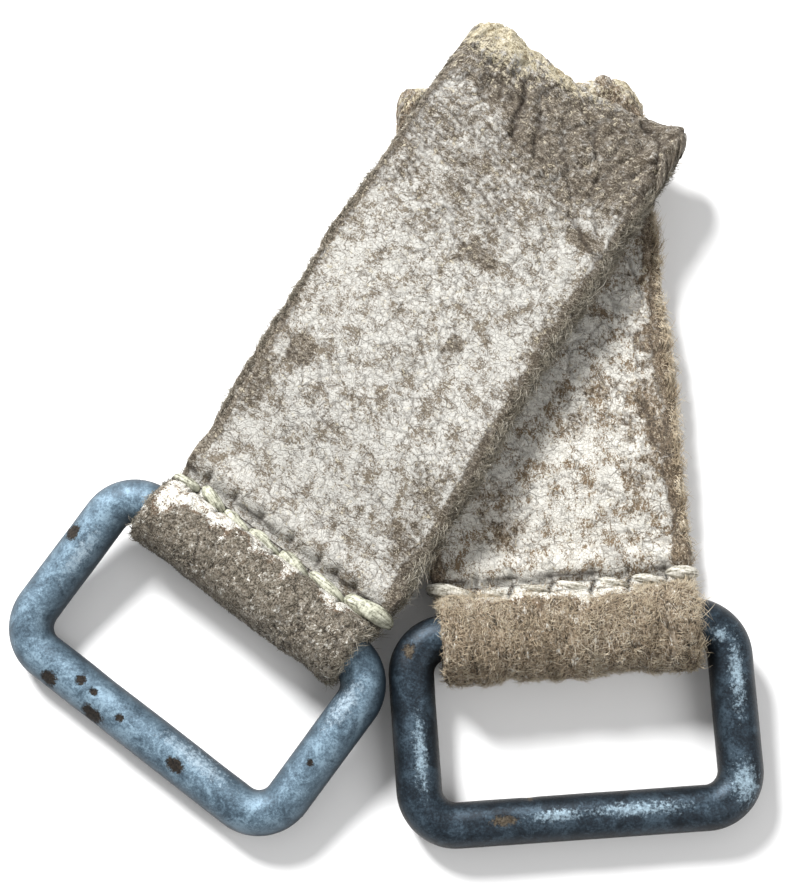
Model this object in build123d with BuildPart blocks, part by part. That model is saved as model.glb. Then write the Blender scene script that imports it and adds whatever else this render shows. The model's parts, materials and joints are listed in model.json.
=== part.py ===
"""Pair of old hide climbing skins with ski-tip rings, laid one across the other.

Each skin is a strap of hide with its bare flesh face outward and its hair inward. One end goes
under the straight bar of a wire ring, over it and back on to the strap, where one row of waxed
thread holds it. The other end is folded under, hair to hair.

Frame: +Z up from the table, +Y towards the folds, origin at the centre of the pair's footprint.
A skin's own numbers are taken from the middle of its ring's bar: u runs up the strap and v to
the right of it. Millimetres and degrees throughout.
"""

from build123d import *
from math import asin, atan2, cos, degrees, hypot, radians, sin, tan
import os

os.makedirs("parts", exist_ok=True)

# ---- driving dimensions ----
WIRE = 7.0  # diameter of the ring wire
RING_WIDTH = 48.3  # between the centres of the ring's two side bars
RING_DEPTH = 28.0  # between the centres of the hinge bar and the free bar
RING_BEND = 5.5  # corner radius on the wire's centre line

STRAP_WIDTH = 40.0
LOOP_WIDTH = 38.2  # the loop is drawn in a little where it sits between the ring's corners
HIDE = 1.8  # thickness of the hide
HAIR = 1.0  # depth of the pressed hair
LAYER_GAP = 0.3  # between the two legs' hair
FOLD_GAP = 0.3  # between the two halves of the fold, at its hinge line
LOOP_PLAY = 0.25  # between the wire and the loop around it
SEAM_GAP = 0.1  # between the flap and the leg it is sewn to
CORNER = 5.0  # rounding of the strap's two corners at the fold
RISE_BEND = 12.0  # radius where the upper leg comes down towards the ring
SEAM_BEND = 2.2  # radius where the flap turns out on to the strap

THREAD = 1.4  # diameter of the sewing thread
STITCHES = 6
STITCH_PITCH = 5.5
STITCH_SPAN = 4.0
STITCH_SLANT = 12.0  # each stitch lies a little across the seam
STITCH_BEND = 1.1
THREAD_LIFT = 0.3  # of the thread off the hide
HOLE_PLAY = 0.1  # around the thread in its needle hole
EDGE_REACH = 0.9  # of the edge thread past the strap's edge
FLAP_END = 1.2  # from the seam to the end of the flap
HAIR_PARTING = 3.4  # width that the hair is parted under the seam

STACK = 2 * (HIDE + HAIR) + LAYER_GAP  # a folded strap's thickness
HALF = STACK / 2
LOOP_R = WIRE / 2 + LOOP_PLAY
REACH = 2 * STRAP_WIDTH  # longer than any cut or sweep needs
CUT_WIDTH = 1.5 * STRAP_WIDTH
JOIN_FROM, JOIN_TO = 40.0, 52.0  # along the strap, where its two profiles overlap


class Skin:
    """One skin's place on the table and the lines that its pieces share."""

    def __init__(self, name, bar, bar_turn, strap_turn, bar_z, base_z, length, rise, tail_end,
                 seam, flap_lean, edge_side):
        self.name, self.bar, self.bar_turn, self.strap_turn = name, bar, bar_turn, strap_turn
        self.bar_z, self.base_z, self.length = bar_z, base_z, length
        self.rise, self.tail_end, self.seam = rise, tail_end, seam
        self.flap_lean, self.edge_side = flap_lean, edge_side
        self.top_z = base_z + STACK
        # The upper leg comes down from (rise, top_z) on a line that touches the loop from below.
        run, fall = rise, self.top_z - bar_z
        self.slope = degrees(atan2(fall, run) + asin(LOOP_R / hypot(run, fall)))
        self.touch_run = (run**2 + fall**2 - LOOP_R**2) ** 0.5
        self.touch = (LOOP_R * self.s, bar_z - LOOP_R * self.c)

    @property
    def s(self):
        return sin(radians(self.slope))

    @property
    def c(self):
        return cos(radians(self.slope))

    def side(self, turn):
        """Upright plane along the strap: x runs up the strap, y is up, z to the right."""
        a = radians(turn)
        return Plane(origin=(*self.bar, 0), x_dir=(cos(a), sin(a), 0), z_dir=(sin(a), -cos(a), 0))

    def plan(self, turn, height=0.0):
        """Level plane at a height: x runs up the strap and y to the left of it."""
        a = radians(turn)
        return Plane(origin=(*self.bar, height), x_dir=(cos(a), sin(a), 0), z_dir=(0, 0, 1))

    def leg_top(self, u):
        """Height of the sloping leg's flesh face at u."""
        return self.touch[1] + (u - self.touch[0]) * self.s / self.c

    def flap_fall(self, drop):
        """Length of the flap's straight run from the loop to the sloping leg, before its bend."""
        u, z = self.loop_end()
        above = -(u - self.touch[0]) * self.s + (z - self.touch[1]) * self.c - SEAM_GAP
        return above / sin(radians(drop + self.slope))

    def flap_corner(self, drop):
        return self.loop_end()[0] + self.flap_fall(drop) * cos(radians(drop))

    def loop_end(self):
        """Where the flap's flesh face leaves the bar."""
        a = radians(self.flap_lean)
        return LOOP_R * cos(a), self.bar_z + LOOP_R * sin(a)

    @property
    def thread_top(self):
        return self.leg_top(self.seam) + (SEAM_GAP + HIDE) / self.c + THREAD_LIFT + THREAD / 2

    @property
    def thread_bottom(self):
        return self.leg_top(self.seam) - HIDE / self.c - THREAD_LIFT - THREAD / 2

    def stitch_centres(self):
        """Across the strap, from the edge opposite the edge thread."""
        first = STRAP_WIDTH / 2 - THREAD - STITCH_SPAN / 2
        return [self.edge_side * (i * STITCH_PITCH - first) for i in range(STITCHES)]

    def edge_thread_ends(self):
        """Across the strap: the edge thread's needle hole and its run outside the edge."""
        outside = STRAP_WIDTH / 2 + EDGE_REACH
        return [self.edge_side * (outside - STITCH_PITCH), self.edge_side * outside]


RING_GAP = 1.3  # each skin stands this far from the middle, so that the two rings swing clear
LOWER = Skin("lower", bar=(26.74 + RING_GAP, -32.594), bar_turn=94.0, strap_turn=94.0, bar_z=6.55,
             base_z=0.0, length=91.7, rise=25.0, tail_end=27.0, seam=7.5, flap_lean=12.0,
             edge_side=-1)
UPPER = Skin("upper", bar=(-18.66 - RING_GAP, -25.394), bar_turn=52.9, strap_turn=57.5, bar_z=8.0,
             base_z=STACK + LAYER_GAP, length=96.9, rise=29.0, tail_end=32.0, seam=7.3,
             flap_lean=8.0, edge_side=1)
SKINS = (LOWER, UPPER)


def go(start, heading, distance):
    return Line(start, start + heading.normalized() * distance)


def loop_line(skin, depth, to_flap):
    """The upper leg's line at a depth under its flesh face: level, down, round the ring's bar
    and on to the strap. Returns its two ends."""
    rise_cut = RISE_BEND * tan(radians(skin.slope / 2))
    level_z = skin.top_z - depth
    level = Line((JOIN_TO, level_z), (skin.rise + rise_cut, level_z))
    rise = JernArc(level @ 1, level % 1, RISE_BEND - depth, skin.slope)
    leg = go(rise @ 1, rise % 1, skin.touch_run - rise_cut)
    drop = 90 - skin.flap_lean
    loop = JernArc(leg @ 1, leg % 1, LOOP_R + depth, -(180 + skin.slope + drop))
    # The flap runs down beside the bar until it turns out along the sloping leg.
    turn = skin.slope + drop
    seam_cut = SEAM_BEND * tan(radians(turn / 2))
    down = go(loop @ 1, loop % 1, skin.flap_fall(drop) - seam_cut)
    if not to_flap:
        return level @ 0, down @ 1
    out = JernArc(down @ 1, down % 1, SEAM_BEND - depth, turn)
    flap_start = skin.flap_corner(drop) + seam_cut * skin.c
    end = go(out @ 1, out % 1, (skin.seam + FLAP_END - flap_start) / skin.c)
    return level @ 0, end @ 1


def fold_line(skin, depth, upper):
    """A leg's line at a depth under its flesh face, from the fold's hinge line."""
    sign = 1 if upper else -1
    start = degrees(asin(FOLD_GAP / 2 / HALF))
    lean = radians(start)
    radius = HALF - depth
    mid = (skin.length - HALF, skin.base_z + HALF)
    crest = (mid[0] + radius * cos(lean), mid[1] + sign * radius * sin(lean))
    turn = JernArc(crest, (-sin(lean), sign * cos(lean)), radius, sign * (90 - start))
    far_u = JOIN_FROM if upper else skin.tail_end
    leg = Line(turn @ 1, (far_u, mid[1] + sign * radius))
    return turn @ 0, leg @ 1


def layer(plane, line, skin, near, far, **shape):
    """The face between a leg's lines at two depths."""
    with BuildSketch(plane) as face:
        with BuildLine():
            near_ends = line(skin, near, **shape)
            far_ends = line(skin, far, **shape)
            for end, other in zip(near_ends, far_ends):
                Line(end, other)
        make_face()
    return face.sketch


def outline(skin):
    """The strap seen from above, narrower at the loop, with its corners rounded at the fold."""
    half, loop_half = STRAP_WIDTH / 2, LOOP_WIDTH / 2
    skew = radians(skin.bar_turn - skin.strap_turn)

    def at_loop(u, v):
        return (u * cos(skew) - v * sin(skew), u * sin(skew) + v * cos(skew))

    back, shoulder = -WIRE - 2 * HIDE, WIRE / 2 + HIDE
    with BuildSketch(skin.plan(skin.strap_turn)) as shape:
        with BuildLine():
            Polyline(
                (skin.length, half), (skin.seam, half), at_loop(shoulder, loop_half),
                at_loop(back, loop_half), at_loop(back, -loop_half), at_loop(shoulder, -loop_half),
                (skin.seam, -half), (skin.length, -half), close=True,
            )
        make_face()
        fillet(shape.vertices().group_by(Axis.X)[-1], CORNER)
    return shape.sketch


def needle_holes(skin):
    """Across the strap, each place where a thread passes through it."""
    places = []
    for v in skin.stitch_centres():
        reach = STITCH_SPAN / 2 * cos(radians(STITCH_SLANT))
        shift = STITCH_SPAN / 2 * sin(radians(STITCH_SLANT))
        places += [(skin.seam + shift, -(v + reach)), (skin.seam - shift, -(v - reach))]
    places.append((skin.seam, -skin.edge_thread_ends()[0]))
    return places


def closed_thread(skin, centre, half_span, slant):
    """One turn of thread through the strap and over the flap, as a closed loop."""
    a = radians(skin.bar_turn - 90 + slant)
    mid_z = (skin.thread_top + skin.thread_bottom) / 2
    half_z = (skin.thread_top - skin.thread_bottom) / 2
    where = skin.plan(skin.bar_turn, mid_z).from_local_coords((skin.seam, -centre, 0))
    loop = Plane(origin=where, x_dir=(cos(a), sin(a), 0), z_dir=(sin(a), -cos(a), 0))
    with BuildLine(loop) as path:
        FilletPolyline((-half_span, half_z), (half_span, half_z), (half_span, -half_z),
                       (-half_span, -half_z), radius=STITCH_BEND, close=True)
    with BuildSketch(Plane(origin=path.line @ 0, z_dir=path.line % 0)) as section:
        Circle(THREAD / 2)
    sweep(section.sketch, path=path.line)


for skin in SKINS:
    # ---- ring: round wire bent to a rectangle, its hinge bar inside the strap's loop ----
    across = radians(skin.bar_turn - 90)
    tilt = asin((skin.bar_z - WIRE / 2) / RING_DEPTH)
    bar_dir = Vector(cos(across), sin(across), 0)
    up_strap = Vector(-sin(across), cos(across), 0)
    ring_normal = Vector(0, 0, cos(tilt)) - up_strap * sin(tilt)
    ring_plane = Plane(origin=(*skin.bar, skin.bar_z), x_dir=bar_dir, z_dir=ring_normal)
    half_width = RING_WIDTH / 2
    with BuildPart() as ring:
        with BuildLine(ring_plane) as ring_path:
            FilletPolyline((-half_width, 0), (half_width, 0), (half_width, -RING_DEPTH),
                           (-half_width, -RING_DEPTH), radius=RING_BEND, close=True)
        with BuildSketch(Plane(origin=ring_path.line @ 0, z_dir=ring_path.line % 0)):
            Circle(WIRE / 2)
        sweep(path=ring_path.line)
    ring.part.label = f"{skin.name}_ring"
    export_step(ring.part, f"parts/{skin.name}_ring.step")

    # ---- upper leg's hide: half of the fold, level leg, slope, loop and sewn flap ----
    with BuildPart() as front_hide:
        at_bar = layer(skin.side(skin.bar_turn), loop_line, skin, 0.0, HIDE, to_flap=True)
        extrude(at_bar, amount=CUT_WIDTH, both=True)
        at_fold = layer(skin.side(skin.strap_turn), fold_line, skin, 0.0, HIDE, upper=True)
        extrude(at_fold, amount=CUT_WIDTH, both=True)
        extrude(outline(skin), amount=REACH, both=True, mode=Mode.INTERSECT)
        with BuildSketch(skin.plan(skin.bar_turn, skin.thread_bottom)):
            with Locations(*needle_holes(skin)):
                Circle(THREAD / 2 + HOLE_PLAY)
        extrude(amount=skin.thread_top - skin.thread_bottom, mode=Mode.SUBTRACT)
    front_hide.part.label = f"{skin.name}_front_hide"
    export_step(front_hide.part, f"parts/{skin.name}_front_hide.step")

    # ---- upper leg's hair: under the leg and round the outside of the loop ----
    with BuildPart() as front_hair:
        at_bar = layer(skin.side(skin.bar_turn), loop_line, skin, HIDE, HIDE + HAIR, to_flap=False)
        extrude(at_bar, amount=CUT_WIDTH, both=True)
        with BuildSketch(skin.side(skin.strap_turn)):
            with Locations(((skin.length - HALF + JOIN_FROM) / 2, skin.top_z - HIDE - HAIR / 2)):
                Rectangle(skin.length - HALF - JOIN_FROM, HAIR)
        extrude(amount=CUT_WIDTH, both=True)
        extrude(outline(skin), amount=REACH, both=True, mode=Mode.INTERSECT)
        with BuildSketch(skin.side(skin.bar_turn)):
            with Locations((skin.seam, (skin.thread_top + skin.thread_bottom) / 2)):
                Rectangle(HAIR_PARTING, skin.thread_top - skin.thread_bottom + 2 * THREAD)
        extrude(amount=CUT_WIDTH, both=True, mode=Mode.SUBTRACT)
    front_hair.part.label = f"{skin.name}_front_hair"
    export_step(front_hair.part, f"parts/{skin.name}_front_hair.step")

    # ---- tail's hide: the other half of the fold and the leg that is folded under ----
    with BuildPart() as tail_hide:
        at_fold = layer(skin.side(skin.strap_turn), fold_line, skin, 0.0, HIDE, upper=False)
        extrude(at_fold, amount=CUT_WIDTH, both=True)
        extrude(outline(skin), amount=REACH, both=True, mode=Mode.INTERSECT)
    tail_hide.part.label = f"{skin.name}_tail_hide"
    export_step(tail_hide.part, f"parts/{skin.name}_tail_hide.step")

    # ---- tail's hair, facing the upper leg's hair ----
    with BuildPart() as tail_hair:
        with BuildSketch(skin.plan(skin.strap_turn, skin.base_z + HIDE)):
            with Locations(((skin.length - HALF + skin.tail_end) / 2, 0)):
                Rectangle(skin.length - HALF - skin.tail_end, CUT_WIDTH)
        extrude(amount=HAIR)
        extrude(outline(skin), amount=REACH, both=True, mode=Mode.INTERSECT)
    tail_hair.part.label = f"{skin.name}_tail_hair"
    export_step(tail_hair.part, f"parts/{skin.name}_tail_hair.step")

    # ---- seam: one row of slanting stitches ----
    with BuildPart() as stitches:
        for centre in skin.stitch_centres():
            closed_thread(skin, centre, STITCH_SPAN / 2, STITCH_SLANT)
    stitches.part.label = f"{skin.name}_stitches"
    export_step(stitches.part, f"parts/{skin.name}_stitches.step")

    # ---- the thread's last turn, round the strap's edge ----
    inner, outer = skin.edge_thread_ends()
    with BuildPart() as edge_thread:
        closed_thread(skin, (inner + outer) / 2, abs(outer - inner) / 2, 0.0)
    edge_thread.part.label = f"{skin.name}_edge_thread"
    export_step(edge_thread.part, f"parts/{skin.name}_edge_thread.step")
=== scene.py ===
"""Looks for a pair of old hide climbing skins with wire tip rings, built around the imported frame.

Lengths in the tables are millimetres, and MM turns them into Blender's metres. A point on a skin
is given by a and v: a runs along the strap's flesh face, 0 at the ring's bar and larger towards
the fold and on into the tail, and v runs across it, to the right. Attributes of those names carry
them to the materials, so that a pattern follows the hide round its bends.
"""
import json
import math

import bmesh
import bpy
import numpy as np
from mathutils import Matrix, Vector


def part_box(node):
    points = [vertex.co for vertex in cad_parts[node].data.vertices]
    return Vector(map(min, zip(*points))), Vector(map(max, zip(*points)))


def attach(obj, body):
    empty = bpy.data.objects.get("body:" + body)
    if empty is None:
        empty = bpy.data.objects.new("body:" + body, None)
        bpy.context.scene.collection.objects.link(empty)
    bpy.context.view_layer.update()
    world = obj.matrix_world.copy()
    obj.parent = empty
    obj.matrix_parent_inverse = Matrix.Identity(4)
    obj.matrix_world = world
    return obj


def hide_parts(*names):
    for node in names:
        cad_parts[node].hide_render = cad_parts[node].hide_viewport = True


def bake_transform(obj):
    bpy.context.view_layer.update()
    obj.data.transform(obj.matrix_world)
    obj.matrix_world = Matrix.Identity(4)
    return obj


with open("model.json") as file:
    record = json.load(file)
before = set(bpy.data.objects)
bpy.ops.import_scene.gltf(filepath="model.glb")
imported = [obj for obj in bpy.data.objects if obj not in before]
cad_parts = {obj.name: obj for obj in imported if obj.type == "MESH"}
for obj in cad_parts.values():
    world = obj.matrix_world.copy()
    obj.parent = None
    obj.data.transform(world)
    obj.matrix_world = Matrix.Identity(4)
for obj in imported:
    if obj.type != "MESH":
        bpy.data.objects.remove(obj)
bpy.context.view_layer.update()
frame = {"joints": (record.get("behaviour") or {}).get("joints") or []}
MM = 0.001

# ---- sizes shared with the CAD ----
HIDE = 1.8
LOOP_R = 3.75  # the loop's flesh face around the bar
RISE_BEND = 12.0
SEAM_BEND = 2.2
SEAM_GAP = 0.1
STRAP_HALF, LOOP_HALF = 20.0, 19.1
TABLE = 0.05  # hair stops this far above the floor
CORNER = 3.2  # rounding of the fold's two corners, seen from above
WIRE = 7.0
RING_WIDTH, RING_DEPTH, RING_BEND = 48.3, 28.0, 5.5

# ---- the meshes' fineness ----
STEP = 0.318  # between points of the hide, along it and across
TAIL_SKIP = 2  # of those points, one in this many is kept on the tail
FOLD_MARGIN = 1.0  # the fold's piece goes on past its bend, above and below
LOOP_END = 10.0  # the loop's denser hair goes this far along
FINE = 0.02  # step for drawing a profile
RING_ROUND, RING_STEP = 56, 0.4
STITCH_ROWS, STITCH_ROUND = 44, 22
EDGE_BULGE = 0.28  # of the strap's cut edges
LOOP_HAIRS, LEG_HAIRS, LEG_FRINGE, UNDER_HAIRS, UNDER_FRINGE = 19500, 9500, 12400, 8000, 7000

JOINTS = {j["name"]: j for j in frame["joints"]}
rng = np.random.default_rng(7)


# ---- patterns ----
def lattice(seed, i, j):
    """A repeatable number from 0 to 1 for each pair of whole numbers."""
    h = (i * 374761393 + j * 668265263 + seed * 974711) & 0x7FFFFFFF
    h = ((h ^ (h >> 13)) * 1274126177) & 0x7FFFFFFF
    return ((h ^ (h >> 16)) & 0xFFFF) / 0xFFFF


def noise(x, y, size, seed):
    """Smooth noise from -1 to 1 with bumps about size across."""
    x, y = x / size + 0.37 * seed, y / size + 0.71 * seed
    i, j = np.floor(x).astype(np.int64), np.floor(y).astype(np.int64)
    fx, fy = x - i, y - j
    fx, fy = fx * fx * (3 - 2 * fx), fy * fy * (3 - 2 * fy)
    low = lattice(seed, i, j) * (1 - fx) + lattice(seed, i + 1, j) * fx
    high = lattice(seed, i, j + 1) * (1 - fx) + lattice(seed, i + 1, j + 1) * fx
    return 2 * (low * (1 - fy) + high * fy) - 1


def fractal(x, y, size, seed, octaves=4):
    return sum(noise(x, y, size / 2**k, seed + k) / 2**k for k in range(octaves))


def cell_edges(x, y, size, seed):
    """Distance from each point to the edge of its cell, as a share of the cells' size."""
    x, y = x / size, y / size
    i, j = np.floor(x).astype(np.int64), np.floor(y).astype(np.int64)
    near = np.full(x.shape, 9.0)
    second = near.copy()
    for di in (-1, 0, 1):
        for dj in (-1, 0, 1):
            px = i + di + lattice(seed, i + di, j + dj)
            py = j + dj + lattice(seed + 1, i + di, j + dj)
            d = np.hypot(px - x, py - y)
            second = np.minimum(second, np.maximum(near, d))
            near = np.minimum(near, d)
    return second - near


def smooth(x, start, end):
    t = np.clip((x - start) / (end - start), 0, 1)
    return t * t * (3 - 2 * t)


def unit(x):
    return x / np.maximum(np.linalg.norm(x, axis=-1, keepdims=True), 1e-12)


def hump(x, middle, width):
    return np.exp(-(((x - middle) / width) ** 2))


def walk(runs):
    """Fine steps along runs of a length and a bend each: where each run ends, and the distance
    gone and the heading at each step."""
    ends = np.cumsum([length for length, _ in runs])
    s = np.arange(0, ends[-1], FINE)
    bend = np.array([b for _, b in runs])[np.searchsorted(ends, s, side="right")]
    return ends, s, (np.cumsum(bend) - bend / 2) * FINE


def line_distance(a, v, points):
    """Distance from each (a, v) to a broken line."""
    best = np.full(a.shape, 1e3)
    for (a0, v0), (a1, v1) in zip(points, points[1:]):
        da, dv = a1 - a0, v1 - v0
        t = np.clip(((a - a0) * da + (v - v0) * dv) / (da * da + dv * dv), 0, 1)
        best = np.minimum(best, np.hypot(a - a0 - t * da, v - v0 - t * dv))
    return best


def patches(a, v, spots):
    """Ragged spots: each is (a, v, reach along a, reach along v, strength)."""
    total = np.zeros(a.shape)
    ragged = 0.35 * fractal(a, v, 2.2, 31)
    for at, vt, ra, rv, strength in spots:
        inside = 1 - np.hypot((a - at) / ra, (v - vt) / rv) + ragged
        total = np.maximum(total, strength * smooth(inside, -0.2, 0.7))
    return total


# ---- what each skin is like ----
UPPER_CREASES = [  # points, depth, half-width
    ([(57, -12), (63, -8), (69, -3.5), (73, -1)], 0.16, 0.22),
    ([(64.5, -17), (64, -8.6), (62.6, -2), (60, 3)], 0.18, 0.22),
    ([(70, -12), (65, -5), (58, 1.5), (55, 5.5)], 0.14, 0.2),
    ([(75, 10), (72.8, 14), (71, 18.5)], 0.45, 0.55),
    ([(74, 4), (68.5, 9), (64, 12)], 0.2, 0.28),
    ([(46.5, -9), (48.5, -5.5), (51, -3)], 0.13, 0.16),
    ([(15, -14), (18.5, -10.5), (22.5, -7), (24, -2)], 0.12, 0.16),
    ([(21, 6), (20, 11), (17, 14.5)], 0.14, 0.2),
    ([(95.5, 12.5), (92, 16.3), (87, 18)], 0.75, 0.7),
    ([(93, 2), (90.5, 6.5), (86.5, 9)], 0.5, 0.5),
    ([(90.5, -8), (86, -5), (81.5, -4.5)], 0.6, 0.6),
    ([(88.5, -2.5), (84, -1), (79.5, 0.5)], 0.35, 0.4),
    ([(87, 3.5), (82.5, 5), (77.5, 9)], 0.35, 0.4),
    ([(84, 11), (80, 12.5), (75, 16)], 0.35, 0.35),
    ([(91.5, -19.8), (89.6, -14), (91, -9), (93.5, -5)], 0.4, 0.6),
    ([(96.5, -13.5), (95.2, -6), (95.4, 1), (94, 7)], 0.3, 0.35),
]
LOWER_CREASES = [
    ([(36, 14), (30, 15.5), (25, 18.5)], 0.4, 0.45),
    ([(33, 2), (32, 8), (33.5, 12)], 0.16, 0.2),
    ([(22, -6), (23, 2), (21.5, 9)], 0.12, 0.16),
    ([(50, 12), (45, 15), (41, 15.5)], 0.25, 0.3),
    ([(60, 14), (55, 16.5), (50, 16.5)], 0.3, 0.3),
]
UPPER_STITCHES = [  # each from (u, v) to (u, v), and its thickness
    ((6.2, -19.7), (6.8, -15.5), 1.35), ((7.6, -14.8), (6.1, -10.2), 1.45),
    ((6.6, -9.9), (5.5, -4.9), 1.6), ((6.4, -4.9), (5.7, 0.7), 1.75),
    ((6.6, 1), (5.8, 6.2), 1.75), ((5.5, 6.2), (4.7, 12.8), 1.5),
    ((6.9, 6.4), (6.2, 13.2), 1.45), ((7, 13.1), (7.9, 20.9), 2.1),
]
LOWER_STITCHES = [
    ((9, -20.7), (6.8, -13.6), 2.1), ((7.8, -12.6), (7, -8.2), 1.1),
    ((8.3, -7), (7.2, -1.9), 1.2), ((8.4, -0.9), (7.1, 4.4), 1.3),
    ((8.4, 5.4), (7.3, 10.2), 1.3), ((8.5, 10.8), (7.4, 16), 1.35),
    ((8.9, 16.2), (8.4, 20.8), 1.9),
]
SLIT_LENGTH = 3.3  # of the short creases that run down the flap between the stitches


class Skin:
    """One skin's place, from its joints and nodes, and its own character: seed is for its
    patterns, seam is the seam's u, flap_end how far past that the flap goes, felt the length of
    the loop's hair, dirt the share of mottling, worn_reach how far the white goes down the flap,
    and slit_turn the lean of the flap's short creases. The stitch values lift, set back and
    thicken its stitches."""

    def __init__(self, name, rise, tail_end, flap_lean, **character):
        self.name, self.upper = name, name == "upper"
        vars(self).update(character)
        swing, unfold = JOINTS[f"{name}_ring_swing"], JOINTS[f"{name}_unfold"]
        pairs = zip(self.stitches, self.stitches[1:])
        self.gaps = [(p[1] + q[1]) / 2 for (_, p, _), (q, _, _) in pairs]  # v between stitches
        self.bar = np.array(swing["pos_m"]) / MM
        self.crest = np.array(unfold["pos_m"]) / MM
        self.bar_turn, self.strap_turn = map(self.turn_of, (swing, unfold))
        t = math.radians(self.bar_turn)
        self.upward = np.array([math.cos(t), math.sin(t), 0])
        self.right = np.array([math.sin(t), -math.cos(t), 0])
        up = math.radians(self.strap_turn)
        self.length = float((self.crest - self.bar)[:2] @ (math.cos(up), math.sin(up)))
        self.base_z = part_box(f"{name}_tail_hide")[0].z / MM
        self.half = self.crest[2] - self.base_z
        self.draw_profile(rise, tail_end, flap_lean)

    @staticmethod
    def turn_of(joint):
        x, y, _ = joint["axis"]
        side = math.copysign(1, x)
        return math.degrees(math.atan2(side * x, -side * y))

    def draw_profile(self, rise, tail_end, flap_lean):
        """The flesh face's line from the tail's end round the fold, along the leg, down and
        round the bar and on to the strap, as runs of a length and a bend each."""
        fall = self.crest[2] + self.half - self.bar[2]
        slope = math.atan2(fall, rise) + math.asin(LOOP_R / math.hypot(rise, fall))
        drop = math.radians(90 - flap_lean)
        touch_run = math.sqrt(rise**2 + fall**2 - LOOP_R**2)
        touch = (LOOP_R * math.sin(slope), self.bar[2] - LOOP_R * math.cos(slope))
        end_u, end_z = LOOP_R * math.sin(drop), self.bar[2] + LOOP_R * math.cos(drop)
        above = (end_z - touch[1]) * math.cos(slope) - (end_u - touch[0]) * math.sin(slope)
        flap_fall = (above - SEAM_GAP) / math.sin(drop + slope)
        rise_cut = RISE_BEND * math.tan(slope / 2)
        seam_cut = SEAM_BEND * math.tan((drop + slope) / 2)
        flap_start = end_u + flap_fall * math.cos(drop) + seam_cut * math.cos(slope)
        runs = [
            (self.length - self.half - tail_end, 0),
            (math.pi * self.half, 1 / self.half),
            (self.length - self.half - rise - rise_cut, 0),
            (RISE_BEND * slope, 1 / RISE_BEND),
            (touch_run - rise_cut, 0),
            (LOOP_R * (math.pi + slope + drop), -1 / LOOP_R),
            (flap_fall - seam_cut, 0),
            (SEAM_BEND * (drop + slope), 1 / SEAM_BEND),
            ((self.seam + self.flap_end - flap_start) / math.cos(slope), 0),
        ]
        ends, s, heading = walk(runs)
        u = tail_end + np.cumsum(np.cos(heading)) * FINE
        z = self.base_z + np.cumsum(np.sin(heading)) * FINE
        keep = np.linspace(0, len(s) - 1, int(ends[-1] / STEP)).astype(int)
        self.u, self.z, heading = u[keep], z[keep], heading[keep]
        self.nu, self.nz = np.sin(heading), -np.cos(heading)
        self.a = self.length - self.half + ends[1] - s[keep]
        self.slope, self.touch = slope, touch
        self.flap_a = self.a[-1]
        self.fold_a = (self.length - self.half, self.length - self.half + math.pi * self.half)

    def place(self, u, v, z):
        """Points in metres. The strap turns from the ring's direction to its own."""
        turn = self.bar_turn + (self.strap_turn - self.bar_turn) * smooth(u, 8, 52)
        t = np.radians(turn)
        x = self.bar[0] + u * np.cos(t) + v * np.sin(t)
        y = self.bar[1] + u * np.sin(t) - v * np.cos(t)
        return np.stack([x, y, z + 0 * x], -1) * MM

    def leg_top(self, u):
        return self.touch[1] + (u - self.touch[0]) * math.tan(self.slope)


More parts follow.
